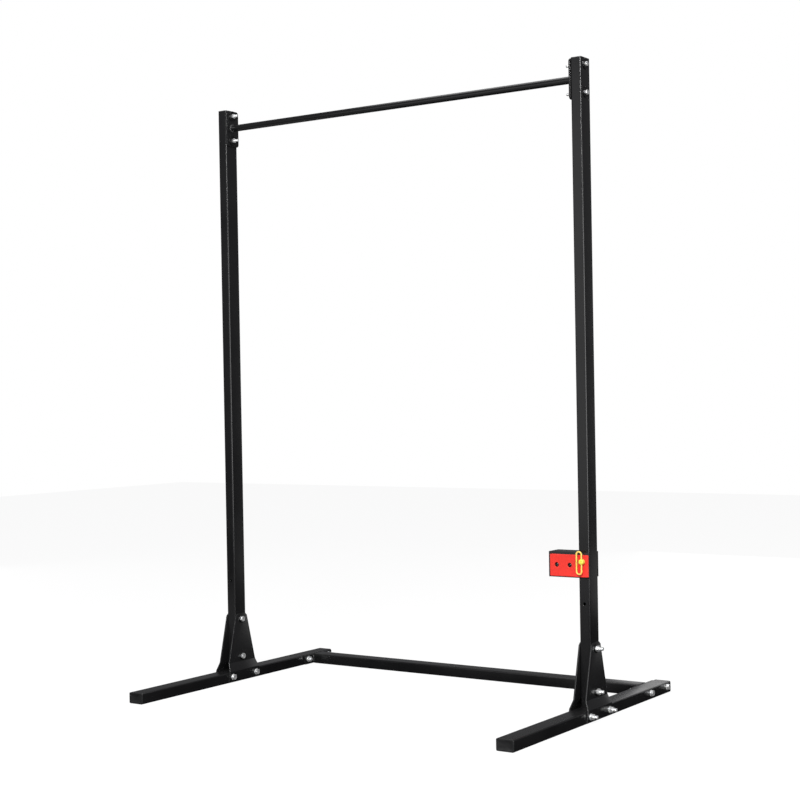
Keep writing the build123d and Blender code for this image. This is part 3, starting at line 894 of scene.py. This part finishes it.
def foot_step_face():
    """Face plate with a soft front rim, two screw recesses and the pull pin's guide hole."""
    low, high = box_of("foot_step_face_plate")
    corner, edge, hole_edge = 0.004, 0.0015, 0.0006
    thick = high[1] - low[1]
    pin_x = (box_of("pull_pin_shaft")[0][0] + box_of("pull_pin_shaft")[1][0]) / 2
    gaps = (SCREW_X[0] + SCREW_X[1]) / 2, (SCREW_X[1] + pin_x) / 2
    stations = [low[0] + corner, *gaps, high[0] - corner]
    holes = [(x, SCREW_Z, SCREW_RECESS + hole_edge) for x in SCREW_X]
    holes.append((pin_x, PIN_Z, PIN_GUIDE + hole_edge))
    blocks, rounds, u, v = holed_strip(stations, (low[2] + corner, high[2] - corner), holes, 12)

    def on_plate(along, across, depth):
        return np.stack([along, low[1] + depth, across], axis=-1)

    parts = pierced(on_plate, blocks, rounds, thick, hole_edge)
    # Border: each point of the flat area's edge, with the way out from it
    swing = np.linspace(0, np.pi / 2, 7)
    base, out = [], []
    for k, side in enumerate(((np.full(len(v), u[0]), v), (u, np.full(len(u), v[-1])),
                              (np.full(len(v), u[-1]), v[::-1]), (u[::-1], np.full(len(u), v[0])))):
        side = np.stack(side, 1)
        facing = np.pi - k * np.pi / 2
        turn = facing - swing[1:-1]
        base += [side, np.repeat(side[-1:], len(turn), axis=0)]
        out += [np.repeat([[np.cos(facing), np.sin(facing)]], len(side), axis=0),
                np.stack([np.cos(turn), np.sin(turn)], 1)]
    base, out = np.concatenate(base), np.concatenate(out)
    inset, rise = quarter_round(edge, 5)
    grow = np.r_[0.0, corner - inset, corner, 0.0]
    depth = np.r_[0.0, rise, thick, thick]
    flat = base + grow[:, None, None] * out
    deep = np.broadcast_to(depth[:, None], flat.shape[:2])
    parts.append((on_plate(flat[..., 0], flat[..., 1], deep).reshape(-1, 3),
                  quads(len(grow), len(base), False, True)))
    stand_for("foot_step_face_plate", "plate", parts, PLATE_ANGLE)


def foot_step_screws():
    """Two button-head screws with hexagon sockets, and the nuts inside the step."""
    low, high = box_of("foot_step_screws")
    nut_low, nut_high = box_of("foot_step_screw_nuts")
    head_r, head, shank, length = 0.00875, 0.005, 0.005, high[1] - low[1]
    socket_flats, socket, socket_bevel, lip = 0.006, 0.003, 0.0003, 0.0039
    skirt, skirt_bevel, tip = 0.0008, 0.0002, 0.001
    swing = np.linspace(0, np.pi / 2, 8)[1:]
    key = hexagon(socket_flats)
    profile = [(socket, 0), (socket, key), (socket_bevel, key), (0.0, lip)]
    profile += list(zip((head - skirt) * (1 - np.cos(swing)), lip + (head_r - lip) * np.sin(swing)))
    profile += [(head, head_r - skirt_bevel), (head, shank), (length - tip, shank),
                (length, shank - tip), (length, 0)]
    screws = [turned(np.array([x, low[1], SCREW_Z]), Y, np.cos(k) * X + np.sin(k) * Z,
                     np.cos(k) * Z - np.sin(k) * X, *lathe_rows(profile))
              for k, x in enumerate(SCREW_X)]
    stand_for("foot_step_screws", "turned", screws, TURNED_ANGLE)
    nut_h, flats, chamfer = nut_high[1] - nut_low[1], 0.016, 0.001
    rows = [(d, chamfered(flats, d)) for d in np.linspace(0, chamfer, 5)]
    profile = ([(NUT_SINK, shank), (0, shank + NUT_SINK)] + rows
               + [(nut_h - d, r) for d, r in rows[::-1]]
               + [(nut_h, shank + NUT_SINK), (nut_h - NUT_SINK, shank)])
    nuts = [turned(np.array([x, nut_low[1], SCREW_Z]), Y, X, Z, *lathe_rows(profile), wrap=True)
            for x in SCREW_X]
    stand_for("foot_step_screw_nuts", "turned", nuts, TURNED_ANGLE)


def pull_pin():
    """Turned pin: chamfered tip, a shallow ring groove behind it and a plain shaft."""
    low, high = box_of("pull_pin_shaft")
    centre = (low + high) / 2
    centre[1] = high[1]
    length, tip, groove = high[1] - low[1], 0.0025, 0.0003
    groove_top, groove_floor = (0.006, 0.008), (0.0064, 0.0076)
    profile = [(0, 0), (0, PIN_R - tip), (tip, PIN_R), (groove_top[0], PIN_R),
               (groove_floor[0], PIN_R - groove), (groove_floor[1], PIN_R - groove),
               (groove_top[1], PIN_R), (length, PIN_R), (length, 0)]
    stand_for("pull_pin_shaft", "turned",
              [turned(centre, -Y, X, Z, *lathe_rows(profile, 64))], TURNED_ANGLE)


def pull_loop():
    """Wire loop dipped in plastic: a circle carried round two straights and two half circles.

    The skin is a little thicker where the two ends of the wire meet, half way up the far limb,
    and where the dip ran down to the bottom of the bend.
    """
    low, high = box_of("pull_pin_loop")
    wire = (high[1] - low[1]) / 2
    half_w = (high[0] - low[0]) / 2 - wire
    straight = high[2] - low[2] - 2 * wire - 2 * half_w
    centre = (low + high) / 2
    bend, steps, sides = np.pi * half_w, 240, 28
    join_thick, join_wide, run_thick, run_wide = 0.0003, 0.006, 0.0002, 0.008
    s = np.arange(steps) * 2 * (straight + bend) / steps
    angle = np.where(s < bend, s / half_w, np.where(s < bend + straight, np.pi, np.where(
        s < 2 * bend + straight, np.pi + (s - bend - straight) / half_w, TURN)))
    drop = np.where(s < bend, 0, np.where(s < bend + straight, s - bend, np.where(
        s < 2 * bend + straight, straight, straight - (s - 2 * bend - straight))))
    out = np.cos(angle)[:, None] * X + np.sin(angle)[:, None] * Z
    path = centre + half_w * out + (straight / 2 - drop)[:, None] * Z
    join = np.exp(-((s - bend - straight / 2) / join_wide) ** 2)
    run = np.exp(-((s - 1.5 * bend - straight) / run_wide) ** 2)
    radius = wire + join_thick * join + run_thick * run
    turn = np.arange(sides) * TURN / sides
    points = (path[:, None, :] + (radius[:, None] * np.cos(turn))[..., None] * out[:, None, :]
              + (radius[:, None] * np.sin(turn))[..., None] * Y)
    stand_for("pull_pin_loop", "dipped_wire",
              [(points.reshape(-1, 3), quads(steps, sides, True, True))], WIRE_ANGLE)


def build_frame():
    """Every piece, side by side in the order that the frame is put together."""
    for turn, side in enumerate(SIDES):
        sign = -1 if side == "left" else 1
        straight_tube(f"{side}_floor_leg", 1)
        end_cap(f"{side}_leg_front_cap", 1, -1)
        end_cap(f"{side}_leg_rear_cap", 1, 1)
        end_cap(f"{side}_upright_top_cap", 2, 1)
        upright_tube(f"{side}_upright", [SPARE_HOLE_Z] + ([PIN_Z] if side == "right" else []))
        gusset_plate(f"{side}_inner_gusset", -sign)
        gusset_plate(f"{side}_outer_gusset", sign)
        flange_plate(f"{side}_crossmember_flange", CROSSMEMBER_CORNER)
        flange_plate(f"{side}_bar_flange", BAR_CORNER)
        bar_weld(side, sign)
        crossmember_weld(side, sign)
        for k, group in enumerate(("upright_gusset", "leg_gusset", "crossmember", "bar")):
            fastener_set(f"{side}_{group}", M12 if group == "bar" else M16,
                         FIRST_SPIN + GROUP_SPIN * k + SIDE_SPIN * turn,
                         level_nuts=group == "crossmember")
    straight_tube("rear_crossmember", 0)
    round_bar()
    foot_step_body()
    foot_step_face()
    foot_step_screws()
    pull_pin()
    pull_loop()


build_frame()


# ------------------------------------------------------------------ studio

def pale_floor():
    """Level floor past every view's edge, pale to look at but throwing little light back up."""
    mesh = bpy.data.meshes.new("floor")
    mesh.from_pydata([(x * FLOOR_HALF, y * FLOOR_HALF, 0)
                      for x, y in ((-1, -1), (1, -1), (1, 1), (-1, 1))], [], [(0, 1, 2, 3)])
    mat, shader = new_material("Pale floor")
    tree = mat.node_tree
    seen = tree.nodes.new("ShaderNodeLightPath").outputs["Is Camera Ray"]
    link(tree, mix_colour(tree, seen, FLOOR_DIM, FLOOR_PALE), shader.inputs["Base Color"])
    link(tree, math_node(tree, "MULTIPLY", seen, FLOOR_GLOW), shader.inputs["Emission Strength"])
    shader.inputs["Emission Color"].default_value = (1, 1, 1, 1)
    shader.inputs["Roughness"].default_value = 0.7
    shader.inputs["Specular IOR Level"].default_value = 0.1
    mesh.materials.append(mat)
    floor = bpy.data.objects.new("floor", mesh)
    bpy.context.collection.objects.link(floor)


def surround():
    """White surround to look at, and a dimmer one for the object's light and reflections."""
    world = bpy.data.worlds.new("Studio surround")
    bpy.context.scene.world = world
    world.use_nodes = True
    tree = world.node_tree
    dim = tree.nodes["Background"]
    dim.inputs["Color"].default_value = (*SURROUND_DIM, 1)
    white = tree.nodes.new("ShaderNodeBackground")
    white.inputs["Color"].default_value = (1, 1, 1, 1)
    choose = tree.nodes.new("ShaderNodeMixShader")
    link(tree, tree.nodes.new("ShaderNodeLightPath").outputs["Is Camera Ray"], choose.inputs[0])
    link(tree, dim.outputs[0], choose.inputs[1])
    link(tree, white.outputs[0], choose.inputs[2])
    link(tree, choose.outputs[0], tree.nodes["World Output"].inputs["Surface"])


def soft_box(name, place, aim, size, power):
    """Rectangular area light at a place, turned to face a point."""
    lamp = bpy.data.lights.new(name, "AREA")
    lamp.shape = "RECTANGLE"
    lamp.size, lamp.size_y = size
    lamp.energy = power
    holder = bpy.data.objects.new(name, lamp)
    bpy.context.collection.objects.link(holder)
    holder.location = place
    holder.rotation_euler = (Vector(aim) - Vector(place)).to_track_quat("-Z", "Y").to_euler()
    holder.visible_camera = False


def camera_view():
    """Camera right of and in front of the frame, at chest height, rolled by a degree."""
    yaw, pitch, roll = np.radians(YAW_PITCH_ROLL)
    look = Vector((-np.sin(yaw) * np.cos(pitch), np.cos(yaw) * np.cos(pitch), np.sin(pitch)))
    right = Vector((np.cos(yaw), np.sin(yaw), 0))
    up = right.cross(look)
    right, up = right * np.cos(roll) + up * np.sin(roll), up * np.cos(roll) - right * np.sin(roll)
    lens = bpy.data.cameras.new("Camera")
    lens.sensor_width, lens.lens, lens.clip_end = 36.0, LENS_MM, 100.0
    lens.shift_x, lens.shift_y = LENS_SHIFT
    camera = bpy.data.objects.new("Camera", lens)
    camera.matrix_world = (Matrix.Translation(EYE)
                           @ Matrix((right, up, -look)).transposed().to_4x4())
    bpy.context.collection.objects.link(camera)
    bpy.context.scene.camera = camera


SURROUND_DIM, FLOOR_DIM = (0.14, 0.14, 0.145), (0.012, 0.012, 0.012)
FLOOR_PALE, FLOOR_GLOW, FLOOR_HALF = (0.12, 0.12, 0.12), 0.92, 14.0
EYE, YAW_PITCH_ROLL = (4.0767, -5.9613, 1.3819), (34.293, -0.578, -1.016)
LENS_MM, LENS_SHIFT = 70.84, (0.0026, 0.0157)
# Name, place, point faced, width and height in metres, and power in watts
SOFT_BOXES = (
    ("Front soft box", (2.6, -7.4, 5.2), (0, 0, 1.2), (2.0, 2.0), 700.0),
    ("Left panel", (-2.0, -6.3, 1.9), (0.2, 0, 1.2), (5.0, 4.6), 46.0),
    ("Right panel", (6.5, -3.6, 1.5), (0.5, 0, 1.2), (9.0, 3.6), 380.0),
    ("Overhead soft box", (0, 0.5, 5.5), (0, 0, 0), (4.0, 4.0), 90.0),
    ("Low front panel", (-1.2, -2.6, 0.02), (-1.2, -2.6, 1.0), (2.6, 3.0), 7.0),
    ("Low back panel", (1.0, 4.6, 0.02), (1.0, 4.6, 1.0), (7.0, 3.4), 24.0),
    ("Low side panel", (-4.6, 0.3, 0.02), (-4.6, 0.3, 1.0), (4.4, 6.0), 26.0),
    ("Back panel", (0.3, 6.5, 1.2), (0.3, 0, 1.2), (4.4, 2.4), 22.0),
    ("Side panel", (-6.5, 0.6, 1.5), (0, 0, 1.2), (5.0, 3.0), 40.0),
)
pale_floor()
surround()
for light in SOFT_BOXES:
    soft_box(*light)
camera_view()
bpy.context.scene.view_settings.view_transform = "Standard"
